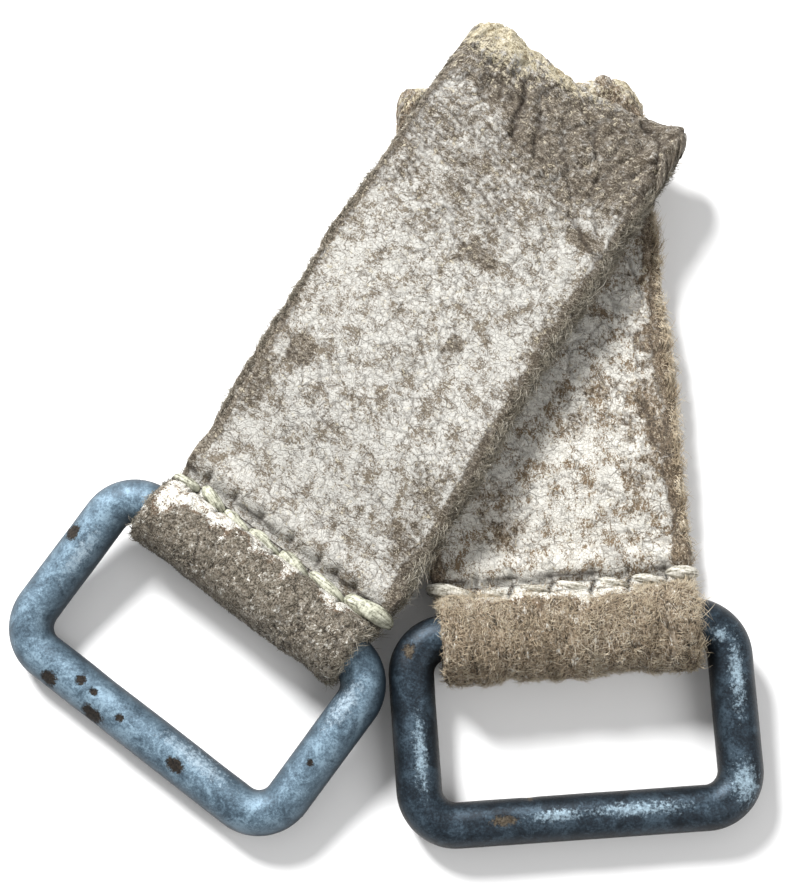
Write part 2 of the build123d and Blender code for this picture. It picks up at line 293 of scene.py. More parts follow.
def make_strip(skin):
    """The whole strap as one closed section swept along its profile: its points, and the
    values that its materials read."""
    rows = len(skin.a)
    columns = int(2 * STRAP_HALF / STEP)
    a = skin.a[:, None]
    across = np.linspace(-1, 1, columns)[None, :]
    reach = LOOP_HALF + (STRAP_HALF - LOOP_HALF) * smooth(a, 4, 12)
    wander = 0.45 * noise(a, 0 * a, 7, skin.seed) + 0.2 * noise(a, 0 * a, 1.7, skin.seed + 3)
    other = 0.45 * noise(a, 0 * a, 8, skin.seed + 5) + 0.2 * noise(a, 0 * a, 1.5, skin.seed + 8)
    wander, other = (w * smooth(a, 4, 14) - 0.15 for w in (wander, other))
    v = across * reach + np.where(across < 0, -wander, other) * np.abs(across) ** 8
    a = a + 0 * v

    # The fold's line is drawn in at its corners and wanders a little.
    over = np.clip(np.abs(v) - (STRAP_HALF - CORNER), 0, CORNER * 0.99)
    pull = CORNER - np.sqrt(CORNER**2 - over**2) + 0.35 * noise(v, 0 * v, 6, skin.seed + 2)
    for middle, width, depth in skin.crest_line:
        pull = pull + depth * hump(v, middle, width)
    u = skin.u[:, None] - pull * smooth(skin.u[:, None], skin.length - 22, skin.length - 3)
    z, nu, nz = (x[:, None] + 0 * v for x in (skin.z, skin.nu, skin.nz))

    relief, dark, dirt, worn = surface(skin, a, v)
    flesh_u, flesh_z = u + nu * relief, z + nz * relief
    flap = a - skin.flap_a  # distance from the flap's end
    on_flap = flap_share(a)
    thick = HIDE - 0.75 * (1 - smooth(flap, 0, 4)) * on_flap
    thick = thick + 0.22 * fractal(a, v, 4.5, skin.seed + 17) * on_flap - 0.45 * dark * on_flap
    if not skin.upper:  # thick matted hair hangs in front of the bar
        thick = thick + 1.5 * hump(skin.nu[:, None], 1, 0.75) * (a < 0)
        thick = thick + 0.5 * fractal(a, v, 3.2, skin.seed + 71, 3) * on_flap * smooth(flap, 1, 4)
    thick = thick - 0.35 * smooth(np.abs(across), 0.955, 1)
    hair_u, hair_z = u - nu * thick, z - nz * thick

    flesh, hair = skin.place(flesh_u, v, flesh_z), skin.place(hair_u, v, hair_z)

    def joined(first, second):
        """Flesh from left to right, the right edge, hair from right to left, the left edge."""
        def edge(x, y, column, inner):
            bulge = 0
            if first.ndim == 3:
                out = first[:, column] - first[:, inner]
                bulge = EDGE_BULGE * MM * out / np.linalg.norm(out, axis=1, keepdims=True)
            return np.stack([x[:, column] * (1 - t) + y[:, column] * t + bulge
                             for t in (0.3, 0.7)], 1)
        right, left = edge(first, second, -1, -6), edge(second, first, 0, 5)
        return np.concatenate([first, right, second[:, ::-1], left], 1)

    points = joined(flesh, hair)
    strip = {"points": points, "columns": columns, "rows": rows, "hair": hair,
             "side": joined(0 * a, 0 * a + 1), "worn_face": worn, "dark_face": dark}
    for key, value in {"a": a, "v": v, "dark": dark, "dirt": dirt, "worn": worn}.items():
        strip[key] = joined(value, value)
    along = np.gradient(points, axis=0)
    around = np.roll(points, -1, 1) - np.roll(points, 1, 1)
    strip["normals"] = unit(np.cross(along, around))
    return strip


def flap_share(a):
    return 1 - smooth(a, -3, 3)


def surface(skin, a, v):
    """The hide's relief, and where it is dark, dirty and worn to white."""
    relief, dark, near_fold = creased(skin, a, v)
    relief, dark = sewn(skin, a, v, relief, dark)
    relief, dark, band_edge = edged(skin, a, v, relief, dark)
    dark, worn = rubbed_flap(skin, a, v, dark)
    dirt, worn = soiled(skin, a, v, near_fold, band_edge, worn)
    return relief, dark, dirt, worn


def creased(skin, a, v):
    """The strap's bumps, puckers, cracks and creases, where they are dark, and where the hide is
    puckered near the fold."""
    seed, upper = skin.seed, skin.upper
    edge_of_fold = a + 0.25 * v + 5 * noise(a, v, 9, seed + 51) + 2 * noise(a, v, 3, seed + 52)
    near_fold = smooth(edge_of_fold, 64, 88) if upper else smooth(edge_of_fold, 60, 82)
    ridged = 1 - 2 * np.abs(fractal(a, v, 6.5, seed + 21, 3))
    relief = 0.22 * fractal(a, v, 15, seed + 1, 3) + 0.05 * fractal(a, v, 1.6, seed + 4, 3)
    relief = relief + near_fold * (0.35 * ridged + 0.3 * fractal(a, v, 2.4, seed + 6, 3))
    warp = 0.9 * noise(a, v, 3.5, seed + 9) + 0.4 * noise(a, v, 1.3, seed + 10)
    pucker = cell_edges(0.8 * a + 1.5 * warp, v + 1.2 * warp, 3, seed + 19)
    pucker = np.minimum(pucker, cell_edges(a - warp, v + warp, 1.5, seed + 20) + 0.12)
    pucker = (1 - smooth(pucker, 0, 0.3)) * near_fold
    cracks = cell_edges(a + warp, (v + warp) * (0.8 if upper else 0.6), 2.1, seed + 12)
    crack_here = smooth(noise(a, v, 9, seed + 14), -0.5, 0.5)
    crack = (1 - smooth(cracks, 0.03, 0.14)) * crack_here
    relief = relief - 0.12 * crack - 0.42 * pucker
    dark = np.maximum(0.55 * crack, 0.6 * pucker**2)

    if upper:
        # Fine parallel wrinkles across the strap, below the puckered part.
        band = smooth(a, 60, 67) * (1 - smooth(a, 80, 86)) * smooth(-v, -19, 4)
        phase = (a + 0.28 * v + 1.3 * noise(a, v, 7, seed + 15)) * 2 * math.pi / 1.5
        furrow = (0.5 + 0.5 * np.sin(phase)) ** 2 * smooth(noise(a, v, 2.4, seed + 16), -0.7, 0.1)
        relief = relief - 0.24 * band * furrow
        dark = np.maximum(dark, 0.8 * band * furrow**2)
        near_fold = np.maximum(near_fold, 0.6 * band)
        # The fold's left corner is a fat roll, and its right corner a smaller one.
        relief = relief + 1.0 * hump(a, 93.5, 4) * hump(v, -14, 5.5)
        relief = relief + 0.7 * hump(a, 90.5, 4.5) * hump(v, 18.5, 2.6)
        relief = relief - 0.5 * hump(a, 93.5, 3.5) * hump(v, 4, 6)
    for points, depth, width in skin.creases:
        shift = [0.9 * fractal(a, v, 3, seed + k, 3) for k in (18, 54)]
        near = line_distance(a + shift[0], v + shift[1], points)
        near = near * (1.3 - 0.6 * noise(a, v, 2.5, seed + 56))
        relief = relief - depth * hump(near, 0, width)
        dark = np.maximum(dark, min(1, 0.5 + depth) * hump(near, 0, 0.8 * width))
    return relief, dark, near_fold


def sewn(skin, a, v, relief, dark):
    """The strap swells above the seam and is pinched between the stitches, with painted shade in
    the pinches and in a broken line along the groove above the stitches.
    """
    on_leg = smooth(a, 8, 11) * (1 - smooth(a, skin.fold_a[1] - 2, skin.fold_a[1]))
    seam_a = skin.seam / math.cos(skin.slope)
    seam_end = seam_a + skin.flap_end
    swell = hump(a, seam_end + 2.4, 2.2) * (1.15 if skin.upper else 0.9)
    relief = relief * on_leg + swell * smooth(a, seam_end - 0.5, seam_end + 0.9)
    for gap in skin.gaps:
        pinch = hump(v, gap, 0.6) * hump(a, seam_end + 0.8, 1.3)
        relief = relief - 0.7 * pinch * smooth(a, seam_end, seam_end + 0.8)
        # Painted shade in each pinch between the stitches.
        dark = np.maximum(dark, hump(v, gap, 0.35) * hump(a, seam_end + 0.5, 1))
    # Painted shade along the groove above the stitches, broken by noise.
    broken = smooth(noise(a, v, 2.6, skin.seed + 64), -0.5, 0.2)
    dark = np.maximum(dark, hump(a, seam_end + (0.6 if skin.upper else 1), 0.4) * broken)
    return relief, dark


def edged(skin, a, v, relief, dark):
    """A lower band along each edge with a dark line inside it."""
    seed = skin.seed
    band_edge = np.where(v < 0, 18.2, 17.6) + 0.6 * noise(a, 0 * v, 6, seed + 61)
    band_edge = band_edge + 0.35 * noise(a, v, 1.5, seed + 62)
    relief = relief - 0.6 * smooth(np.abs(v), band_edge, 20) * smooth(a, 10, 14)
    edge_line = hump(np.abs(v), band_edge, 0.28) * smooth(a, 8, 14)
    dark = np.maximum(dark, 0.75 * edge_line * smooth(noise(a, 0 * v, 2.5, seed + 63), -0.6, 0.4))
    return relief, dark, band_edge


def rubbed_flap(skin, a, v, dark):
    """The flap is worn white below the seam, and short creases run down through that from between
    the stitches."""
    seed, on_flap = skin.seed, flap_share(a)
    down = skin.seam - np.interp(a, skin.a[::-1], (skin.u - HIDE * skin.nu)[::-1])
    worn = 0.5 * fractal(a, v, 3, seed + 25, 3) + 1.05
    worn = smooth(worn - down / (skin.worn_reach * (1 - 0.018 * v)), 0.05, 0.8)
    if not skin.upper:
        worn = worn * smooth(v, -17, -8)
    worn = worn * on_flap * smooth(18.4 - np.abs(v), -0.5, 0.5)
    for gap in skin.gaps:
        slit = [(0, gap), (SLIT_LENGTH, gap + SLIT_LENGTH * skin.slit_turn)]
        near = line_distance(down, v + 0.2 * noise(a, v, 0.9, seed + 28), slit)
        fade = (1 - smooth(down, 0.5 * SLIT_LENGTH, SLIT_LENGTH)) * on_flap
        dark = np.maximum(dark, hump(near, 0, 0.42 - 0.09 * down.clip(0, 3)) * fade)
    dark = np.maximum(dark, 0.9 * hump(a - skin.flap_a, 0, 0.35) * on_flap)
    return np.clip(dark, 0, 1), worn


def soiled(skin, a, v, near_fold, band_edge, worn):
    """Brown dirt in patches, along the edges and over the fold, whose curve is rubbed clean."""
    seed = skin.seed
    ragged = 0.5 * fractal(a, v, 3, seed + 33, 4)
    dirt = patches(a, v, skin.spots)
    edge_dirt = np.maximum(smooth(np.abs(v) - band_edge, -0.3, 0.3),
                           0.5 * smooth(np.abs(v) + 1.6 * ragged, 15, 18.5))
    fold_dirt = near_fold * (0.9 + 0.3 * ragged)
    mottle = skin.dirt * smooth(fractal(a, v, 5, seed + 35, 4), -0.6, 1.1)
    dirt = np.maximum.reduce([dirt, edge_dirt, fold_dirt, mottle])
    roll = hump(v, -13, 7) * skin.upper
    rubbed = hump(a, skin.fold_a[0] + 3.0 - 1.5 * roll, 3.6 + 1.8 * roll)
    rubbed = rubbed * smooth(0.5 + ragged + 0.4 * roll, 0.1, 0.8)
    if skin.upper:
        rubbed = rubbed * smooth(-v, -14, 6)
    return np.clip(dirt * (1 - 0.7 * rubbed), 0, 1), np.maximum(worn, 0.85 * rubbed)


# ---- meshes ----
def signed_volume(mesh):
    shape = bmesh.new()
    shape.from_mesh(mesh)
    volume = shape.calc_volume(signed=True)
    shape.free()
    return volume


def new_mesh(name, points, faces, normals=None, **values):
    mesh = bpy.data.meshes.new(name)
    faces = faces.tolist() if isinstance(faces, np.ndarray) else faces
    mesh.from_pydata(points.reshape(-1, 3).tolist(), [], faces)
    for key, value in values.items():
        value = np.asarray(value, np.float32)
        kind = "FLOAT_VECTOR" if value.ndim > 1 and value.shape[-1] == 3 else "FLOAT"
        layer = mesh.attributes.new(key, kind, "POINT")
        layer.data.foreach_set("vector" if kind == "FLOAT_VECTOR" else "value", value.ravel())
    mesh.polygons.foreach_set("use_smooth", [True] * len(mesh.polygons))
    mesh.update()
    if signed_volume(mesh) < 0:
        mesh.flip_normals()
    if normals is not None:
        mesh.normals_split_custom_set_from_vertices(normals.reshape(-1, 3).tolist())
    piece = bpy.data.objects.new(name, mesh)
    bpy.context.scene.collection.objects.link(piece)
    return piece


def grid_faces(rows, around, closed):
    """Quads over a grid of rows whose points run round and meet."""
    i, j = np.meshgrid(np.arange(rows - 1 + closed), np.arange(around), indexing="ij")
    k, m = (i + 1) % rows, (j + 1) % around
    corners = [i * around + j, k * around + j, k * around + m, i * around + m]
    return np.stack(corners, -1).reshape(-1, 4)


def thinned(first, last, skip):
    """One whole number in every skip from first, and last."""
    return np.append(np.arange(first, last, skip), last)


def shell(name, strip, first, last, skip=1):
    """The strap between two rows as a closed mesh."""
    n = strip["columns"]
    total = strip["points"].shape[1]
    rows, flesh = thinned(first, last, skip), thinned(0, n - 1, skip)
    hair = (2 * n + 1 - flesh)[::-1]
    picked = np.concatenate([flesh, [n, n + 1], hair, [total - 2, total - 1]])
    index = np.ix_(rows, picked)
    around, count = len(picked), len(flesh)
    faces = grid_faces(len(rows), around, False).tolist()
    # Each end is closed by quads from the flesh row to the hair row, and a face at each edge.
    for row, flip in ((0, False), (len(rows) - 1, True)):
        start = row * around
        caps = [[j, 2 * count + 1 - j, 2 * count - j, j + 1] for j in range(count - 1)]
        caps.append([count - 1, count + 2, count + 1, count])
        caps.append([0, around - 1, around - 2, around - 3])
        for cap in caps:
            cap = [start + c for c in cap]
            faces.append(cap[::-1] if flip else cap)
    flat = np.stack([strip[key][index] for key in ("a", "v", "side")], -1)
    values = {key: strip[key][index].ravel() for key in ("dark", "dirt", "worn")}
    return new_mesh(name, strip["points"][index], faces, strip["normals"][index], flat=flat,
                    **values)


def strands(name, roots, headings, bends, lengths, width, curl, shades, joints=3):
    """Hairs: thin closed spikes in a few straight parts, which start along their headings, turn
    towards their bends and curl."""
    count = len(roots)
    wild = rng.normal(size=(count, 3)) * curl
    first, last = unit(headings), unit(bends)
    spots = [roots]
    for k in range(joints):
        t = k / (joints - 1)
        step = first * (1 - t) + last * t + wild * t
        spots.append(spots[-1] + lengths[:, None] / joints * step)
    side = unit(np.cross(first, last + 1e-2 * rng.normal(size=(count, 3))))
    up = np.cross(side, first)
    corners = [(math.cos(t), math.sin(t)) for t in (0.3, 2.4, 4.5)]
    thick = np.linspace(0.5, 0.36, joints)
    points = np.concatenate(
        [np.stack([p + r * width[:, None] * (c * side + s * up) for c, s in corners], 1)
         for p, r in zip(spots, thick)] + [spots[-1][:, None]], 1)
    lowest = TABLE * MM + 0.2 * np.arange(count)[:, None] / count * MM  # no two at one height
    points[..., 2] = np.maximum(points[..., 2], lowest)
    tris = [(2, 1, 0)]
    for ring in range(0, 3 * (joints - 1), 3):
        for k in range(3):
            m = (k + 1) % 3
            tris += [(ring + k, ring + m, ring + 3 + m), (ring + k, ring + 3 + m, ring + 3 + k)]
    end = 3 * joints
    tris += [(end - 3 + k, end - 3 + (k + 1) % 3, end) for k in range(3)]
    base = np.arange(count)[:, None] * (end + 1)
    faces = np.concatenate([base + np.array(t) for t in tris], 0)
    tip = np.tile([*np.repeat(np.linspace(0, 0.8, joints), 3), 1.0], count)
    return new_mesh(name, points, faces, shade=np.repeat(shades, end + 1), tip=tip)


def sample(strip, rows, columns):
    """Places on the hair side at fractional rows and columns: points and outward normals."""
    hair = strip["hair"]
    i, j = np.floor(rows).astype(int), np.floor(columns).astype(int)
    i, j = np.clip(i, 0, hair.shape[0] - 2), np.clip(j, 0, hair.shape[1] - 2)
    fi, fj = (rows - i)[:, None], (columns - j)[:, None]
    here = (hair[i, j] * (1 - fi) + hair[i + 1, j] * fi) * (1 - fj) + hair[i, j + 1] * fj
    along, side = unit(hair[i + 1, j] - hair[i, j]), unit(hair[i, j + 1] - hair[i, j])
    return here, along, side, np.cross(side, along)


def felt(name, skin, strip, first, last, count, length, lift_share):
    """Short matted hair over the hair side between two rows, thin where the hide is worn."""
    rows = first + (last - first) * rng.random(4 * count)
    columns = (strip["columns"] - 1) * rng.random(4 * count)
    bare = strip["worn_face"][rows.astype(int), columns.astype(int)]
    slit = strip["dark_face"][rows.astype(int), columns.astype(int)]
    on_flap = strip["a"][rows.astype(int), 0] < 3
    kept = rng.random(4 * count) > np.where(on_flap, np.maximum(0.97 * bare, 2.5 * slit), 0)
    rows, columns = rows[kept][:count], columns[kept][:count]
    here, along, side, out = sample(strip, rows, columns)
    clump = 3.1 * noise(rows * STEP, columns * STEP, 2.2, skin.seed + 41)
    turn = clump + rng.normal(size=len(rows)) * 0.9
    heading = np.cos(turn)[:, None] * along + np.sin(turn)[:, None] * side
    curve = turn + rng.normal(size=len(rows)) * 1.1
    bend = np.cos(curve)[:, None] * along + np.sin(curve)[:, None] * side
    lift = out * rng.uniform(0.3, 1.0, (len(rows), 1)) * lift_share
    lengths = length * MM * rng.uniform(0.5, 1.25, len(rows))
    width = MM * rng.uniform(0.04, 0.09, len(rows))
    shade = 0.5 + 0.25 * noise(rows * STEP, columns * STEP, 3.0, skin.seed + 43)
    shade = np.clip(shade + rng.normal(size=len(rows)) * 0.22, 0, 1)
    return strands(name, here - 0.05 * MM * out, heading + lift, bend - 0.2 * lift, lengths, width,
                   0.25, shade, joints=2)


def fringe(name, skin, strip, first, last, count, lengths_by_side):
    """Matted hair along the strap's two edges: it comes out from under the edge and turns along
    it. The lengths are for the left and the right edge."""
    rows = first + (last - first) * rng.random(count)
    left, right = lengths_by_side
    on_right = rng.random(count) < right / (left + right)
    inset = rng.random(count) ** 2 * 4
    columns = np.where(on_right, strip["columns"] - 1 - inset, inset)
    here, along, side, out = sample(strip, rows, columns)
    away = np.where(on_right[:, None], side, -side)
    clump = noise(rows * STEP, 9.0 * on_right, 1.4, skin.seed + 45)
    broad = noise(rows * STEP, 9.0 * on_right, 6.0, skin.seed + 46)
    sway = (1.2 * clump + 0.6 * rng.normal(size=count))[:, None]
    climb = rng.random((count, 1)) ** 1.5 * HIDE * 0.95  # some roots are up the cut edge
    roots = here - out * climb * MM + away * 0.05 * MM
    heading = away * rng.uniform(0.25, 1.0, (count, 1)) + 0.6 * sway * along
    heading = heading + out * rng.uniform(-0.35, 0.35, (count, 1))
    bend = along * np.where(sway > 0, 1.0, -1.0) + away * rng.uniform(-0.5, 0.5, (count, 1))
    bend = bend - out * rng.uniform(-0.2, 0.5, (count, 1))
    lengths = np.where(on_right, right, left) * MM * rng.uniform(0.4, 1.1, count)
    lengths = lengths * (0.85 + 0.3 * broad) * (1 - 0.35 * climb[:, 0] / HIDE)
    width = MM * rng.uniform(0.06, 0.13, count)
    shade = np.clip(0.5 + 0.3 * clump + rng.normal(size=count) * 0.2, 0, 1)
    return strands(name, roots, heading, bend, lengths, width, 0.4, shade)


# ---- materials ----
LIGHT_SHARE = 0.71  # the lights show a surface brighter than its own colour, by one over this
MIX_FIRST, MIX_SECOND, MIX_RESULT = 6, 7, 2  # the Mix node's colour sockets, whose names repeat


class Nodes:
    """Short names for the nodes that the materials are made of."""

    def __init__(self, name):
        self.material = bpy.data.materials.new(name)
        self.material.use_nodes = True
        self.tree = self.material.node_tree
        self.shader = self.tree.nodes["Principled BSDF"]

    def put(self, socket, value):
        if isinstance(value, bpy.types.NodeSocket):
            self.tree.links.new(value, socket)
        elif isinstance(value, tuple) and len(value) == 3 and socket.type == "RGBA":
            socket.default_value = (*value, 1)
        else:
            socket.default_value = value

    def add(self, kind, output, inputs, **settings):
        """One output of a new node. Its inputs are given by name or number."""
        node = self.tree.nodes.new(f"ShaderNode{kind}")
        for key, value in settings.items():
            setattr(node, key, value)
        for key, value in inputs.items():
            self.put(node.inputs[key], value)
        return node.outputs[output]

    def read(self, name, output="Fac"):
        return self.add("Attribute", output, {}, attribute_name=name)

    def stretched(self, vector, scale, turn=0.0):
        return self.add("Mapping", 0, {"Vector": vector, "Scale": scale, "Rotation": (0, 0, turn)})

    def noise(self, vector, per_mm, detail=4.0, rough=0.55, twist=0.0):
        return self.add("TexNoise", "Fac", {"Vector": vector, "Scale": per_mm, "Detail": detail,
                                            "Roughness": rough, "Distortion": twist})

    def cracks(self, vector, per_mm):
        return self.add("TexVoronoi", "Distance", {"Vector": vector, "Scale": per_mm},
                        feature="DISTANCE_TO_EDGE")

    def warped(self, vector, per_mm, amount):
        """The vector pushed about by noise."""
        push = self.add("TexNoise", "Color", {"Vector": vector, "Scale": per_mm})
        push = self.add("VectorMath", 0, {0: push, "Scale": amount}, operation="SCALE")
        return self.add("VectorMath", 0, {0: vector, 1: push}, operation="ADD")

    def ramp(self, factor, *stops):
        """stops are (place, colour or grey)."""
        node = self.tree.nodes.new("ShaderNodeValToRGB")
        line = node.color_ramp
        while len(line.elements) < len(stops):
            line.elements.new(0.5)
        for element, (place, colour) in zip(line.elements, stops):
            element.position = place
            colour = colour if isinstance(colour, tuple) else (colour,) * 3
            element.color = (*colour, 1)
        self.put(node.inputs["Fac"], factor)
        return node.outputs["Color"]

    def maths(self, operation, first, second):
        return self.add("Math", 0, {0: first, 1: second}, operation=operation)

    def times(self, first, second, plus=0.0):
        return self.add("Math", 0, {0: first, 1: second, 2: plus}, operation="MULTIPLY_ADD")

    def mix(self, factor, first, second):
        inputs = {"Factor": factor, MIX_FIRST: first, MIX_SECOND: second}
        return self.add("Mix", MIX_RESULT, inputs, data_type="RGBA")

    def finish(self, colour, roughness, height=None, bump=0.3, depth=0.1, **sockets):
        sockets.update(Base_Color=colour, Roughness=roughness)
        if height is not None:
            sockets["Normal"] = self.add("Bump", 0, {"Strength": bump, "Distance": depth * MM,
                                                     "Height": height})
        for key, value in sockets.items():
            self.put(self.shader.inputs[key.replace("_", " ")], value)
        return self.material


def rgb(red, green, blue):
    """The surface's own colour, in linear values, from how it looks on a screen, 0 to 255, under
    this scene's lights."""
    return tuple(LIGHT_SHARE * ((c / 255 + 0.055) / 1.055) ** 2.4 for c in (red, green, blue))


def hide_material(name, colours, crack_scale, weave):
    bright, pale, grey, tan, brown = (rgb(*colour) for colour in colours)
    n = Nodes(name)
    flat = n.read("flat", "Vector")
    dirt, dark, worn = (n.read(key) for key in ("dirt", "dark", "worn"))
    hair_side = n.maths("GREATER_THAN", n.add("SeparateXYZ", "Z", {0: flat}), 0.15)

    # Flesh side: a nap of fine fibres over cloudy grey and white.
    blotch = n.noise(flat, 0.3, 6, 0.6, 0.5)
    nap = n.noise(n.stretched(flat, weave, 0.5), 1.7, 7, 0.72, 0.8)
    speck = n.noise(flat, 4.2, 3, 0.6)
    grain = n.times(nap, 0.6, n.times(speck, 0.4))
    net = n.cracks(n.warped(n.warped(flat, 2.4, 0.35), 0.7, 1.2), 1.5)
    net = n.ramp(net, (0, 1), (0.3, 0))
    tone = n.times(blotch, 0.42, n.times(grain, 0.68))
    tone = n.times(net, 0.036, tone)
    clean = n.ramp(tone, (0.508, tan), (0.53, grey), (0.554, pale), (0.585, bright))
    ground = n.ramp(grain, (0.42, rgb(56, 48, 36)), (0.475, brown), (0.525, tan), (0.58, grey))
    cloud = n.noise(flat, 0.9, 6, 0.7, 0.6)
    soiled = n.times(cloud, 3.4, n.times(dirt, 1.35, -2.15))
    soiled = n.ramp(soiled, (0, 0), (0.6, 0.95))
    colour = n.mix(soiled, clean, ground)
    # Hair-line cracks, and the darker creases that the mesh has too, with the painted shade at the
    # seam.
    pushed = n.warped(n.warped(flat, 0.35, 2.2), 1.6, 0.6)
    lines = n.cracks(n.stretched(pushed, (1.0, 0.7, 1.0)), crack_scale)
    lines = n.ramp(lines, (0, 1), (0.08, 0))
    finer = n.ramp(n.cracks(pushed, 2.1 * crack_scale), (0, 1), (0.06, 0))
    patchy = n.ramp(n.noise(flat, 0.4, 3), (0.4, 0), (0.6, 1))
    lines = n.maths("MAXIMUM", n.times(lines, patchy), n.times(finer, 0.6))
    colour = n.mix(n.times(lines, 0.75), colour, rgb(88, 76, 60))
    colour = n.mix(n.times(dark, 0.85), colour, rgb(56, 46, 36))
    # Hair side: felt, and where it is worn a cream skin with a red-brown margin.
    felt_ground = n.ramp(grain, (0.43, rgb(54, 48, 38)), (0.5, tan), (0.57, grey))
    margin = n.ramp(n.times(cloud, 0.5, worn), (0.3, 0), (0.55, 0.9), (1.1, 0.0))
    under = n.mix(margin, felt_ground, rgb(120, 96, 73))
    colour = n.mix(hair_side, colour, under)
    rubbed = n.times(cloud, 2.4, n.times(grain, 3.0, worn))
    rubbed = n.ramp(n.maths("ADD", rubbed, -2.75), (0.2, 0), (0.6, 1))
    white = n.ramp(grain, (0.42, rgb(132, 108, 84)), (0.465, rgb(220, 212, 196)),
                   (0.51, rgb(255, 254, 246)))
    yellow = n.ramp(grain, (0.43, rgb(128, 112, 80)), (0.5, rgb(188, 178, 150)),
                    (0.57, rgb(214, 204, 180)))
    cream = n.mix(hair_side, yellow, white)
    colour = n.mix(rubbed, colour, cream)
    colour = n.mix(n.times(dark, hair_side), colour, rgb(40, 32, 25))

    height = n.times(nap, 0.9, n.times(speck, 0.5))
    height = n.times(lines, -0.5, n.times(net, 0.15, height))
    return n.finish(colour, n.ramp(nap, (0.3, 0.97), (0.7, 0.8)), height, 0.8, 0.3)


def hair_material(name, *colours):
    roots, middle, tips, pale = (rgb(*colour) for colour in colours)
    n = Nodes(name)
    shade, tip = n.read("shade"), n.read("tip")
    tone = n.times(tip, 0.3, n.times(shade, 0.8))
    colour = n.ramp(tone, (0.1, roots), (0.4, middle), (0.68, tips), (0.95, pale))
    mottle = n.noise(n.add("TexCoord", "Object", {}), 900.0, 3)
    colour = n.mix(n.ramp(mottle, (0.45, 0), (0.75, 0.45)), colour, roots)
    return n.finish(colour, n.ramp(tone, (0, 0.9), (1, 0.62)), mottle, 0.2, 0.05)


def ring_material(name, clouds, marks, shade, metallic, rough, spot_from):
    """Metal with cloudy patches and fine scratches, with painted shade that darkens the sides and
    underside of the wire, and with rust and bright marks where the mesh says, the bright marks
    partly wear and partly painted highlight. marks are rust's two colours and the bright marks'
    colour."""
    clouds, marks = ([rgb(*colour) for colour in group] for group in (clouds, marks))
    n = Nodes(name)
    flat = n.read("flat", "Vector")
    spot, wear, top = (n.read(key) for key in ("spot", "wear", "top"))
    cloud = n.noise(flat, 0.28, 6, 0.62, 0.8)
    fine = n.noise(flat, 2.6, 7, 0.75)
    tone = n.times(fine, 0.55, n.times(cloud, 0.5))
    colour = n.ramp(tone, *zip((0.44, 0.53, 0.62), clouds))
    # Painted shade: darker towards the wire's sides and underside, from the top attribute.
    painted_shade = n.times(fine, 0.5, n.times(top, -2.2, 2.03))
    colour = n.mix(n.ramp(painted_shade, (0.1, 0), (0.9, 0.95)), colour, rgb(*shade))
    flecks = n.noise(flat, 1.7, 8, 0.8)
    # Bright marks along the wire's top: partly wear, partly painted highlight.
    bright = n.times(flecks, 3.0, n.times(wear, 0.9, -2.0))
    colour = n.mix(n.ramp(bright, (0, 0), (0.6, 0.85)), colour, marks[2])
    pitted = n.times(spot, 0.55, n.maths("ADD", flecks, 0.3 - spot_from))
    pitted = n.ramp(pitted, (0, 0), (0.12, 1))
    colour = n.mix(pitted, colour, n.ramp(fine, (0.4, marks[0]), (0.62, marks[1])))
    height = n.times(pitted, -0.8, n.times(fine, 0.5))
    rough_map = n.mix(pitted, n.ramp(fine, (0.35, rough[0]), (0.65, rough[1])), (0.85, 0.85, 0.85))
    return n.finish(colour, rough_map, height, 0.6, 0.15, Metallic=metallic,
                    Specular_IOR_Level=0.3)


def thread_material(name, *colours):
    dark, middle, light = (rgb(*colour) for colour in colours)
    n = Nodes(name)
    flat = n.read("flat", "Vector")
    strand = n.noise(n.stretched(flat, (0.5, 5.0, 1.0)), 0.9, 6, 0.7, 0.4)
    speck = n.noise(flat, 3.0, 4)
    tone = n.times(speck, 0.35, n.times(strand, 0.7))
    colour = n.ramp(tone, (0.44, dark), (0.52, middle), (0.6, light))
    # Painted shade: the thread darkens near its ends, where it dives into the hide.
    ends = n.read("ends")
    colour = n.mix(n.times(ends, 0.75), colour, rgb(70, 60, 48))
    return n.finish(colour, n.ramp(strand, (0.3, 0.75), (0.7, 0.5)), strand, 0.6, 0.1)


HIDES = {
    "upper": hide_material(
        "upper_hide_leather", [(212, 210, 203), (187, 183, 176), (158, 151, 139), (128, 117, 101),
                               (92, 81, 66)], 0.55, (1.0, 0.55, 1.0)),
    "lower": hide_material(
        "lower_hide_leather", [(238, 235, 226), (213, 208, 198), (168, 156, 138), (138, 118, 93),
                               (100, 83, 62)], 0.75, (0.55, 1.0, 1.0)),
}
HAIRS = {
    "upper": hair_material("upper_hair", (54, 48, 38), (114, 106, 90), (160, 152, 134),
                           (206, 200, 186)),
    "lower": hair_material("lower_hair", (120, 105, 84), (196, 177, 148), (234, 217, 188),
                           (252, 242, 220)),
}
# Each ring's shade is the colour of the painted shade on its wire's sides and underside, and its
# last mark colour is that of its bright marks, partly wear and partly painted highlight.
METALS = {
    "upper": ring_material(
        "galvanised_wire_metal", clouds=[(72, 90, 104), (110, 134, 151), (154, 181, 199)],
        marks=[(22, 20, 20), (66, 58, 50), (188, 208, 222)], shade=(40, 52, 62), metallic=0.3,
        rough=(0.45, 0.62), spot_from=1.0),
    "lower": ring_material(
        "blued_wire_metal", clouds=[(34, 42, 50), (52, 65, 76), (84, 102, 116)],
        marks=[(60, 50, 40), (128, 118, 102), (196, 222, 238)], shade=(3, 6, 9), metallic=0.5,
        rough=(0.36, 0.55), spot_from=1.15),
}
THREADS = {
    "upper": thread_material("upper_thread_fibre", (98, 96, 80), (178, 178, 158), (222, 222, 202)),
    "lower": thread_material("lower_thread_fibre", (110, 102, 86), (190, 186, 172),
                             (236, 232, 222)),
}


def dress(piece, material, body, slot, *nodes):
    """Gives a piece its material and the body that it rides on if any, and hides the CAD nodes that
    it stands for. slot is not used."""
    piece.data.materials.append(material)
    if body:
        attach(piece, body)
    if nodes:
        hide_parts(*nodes)
    return piece


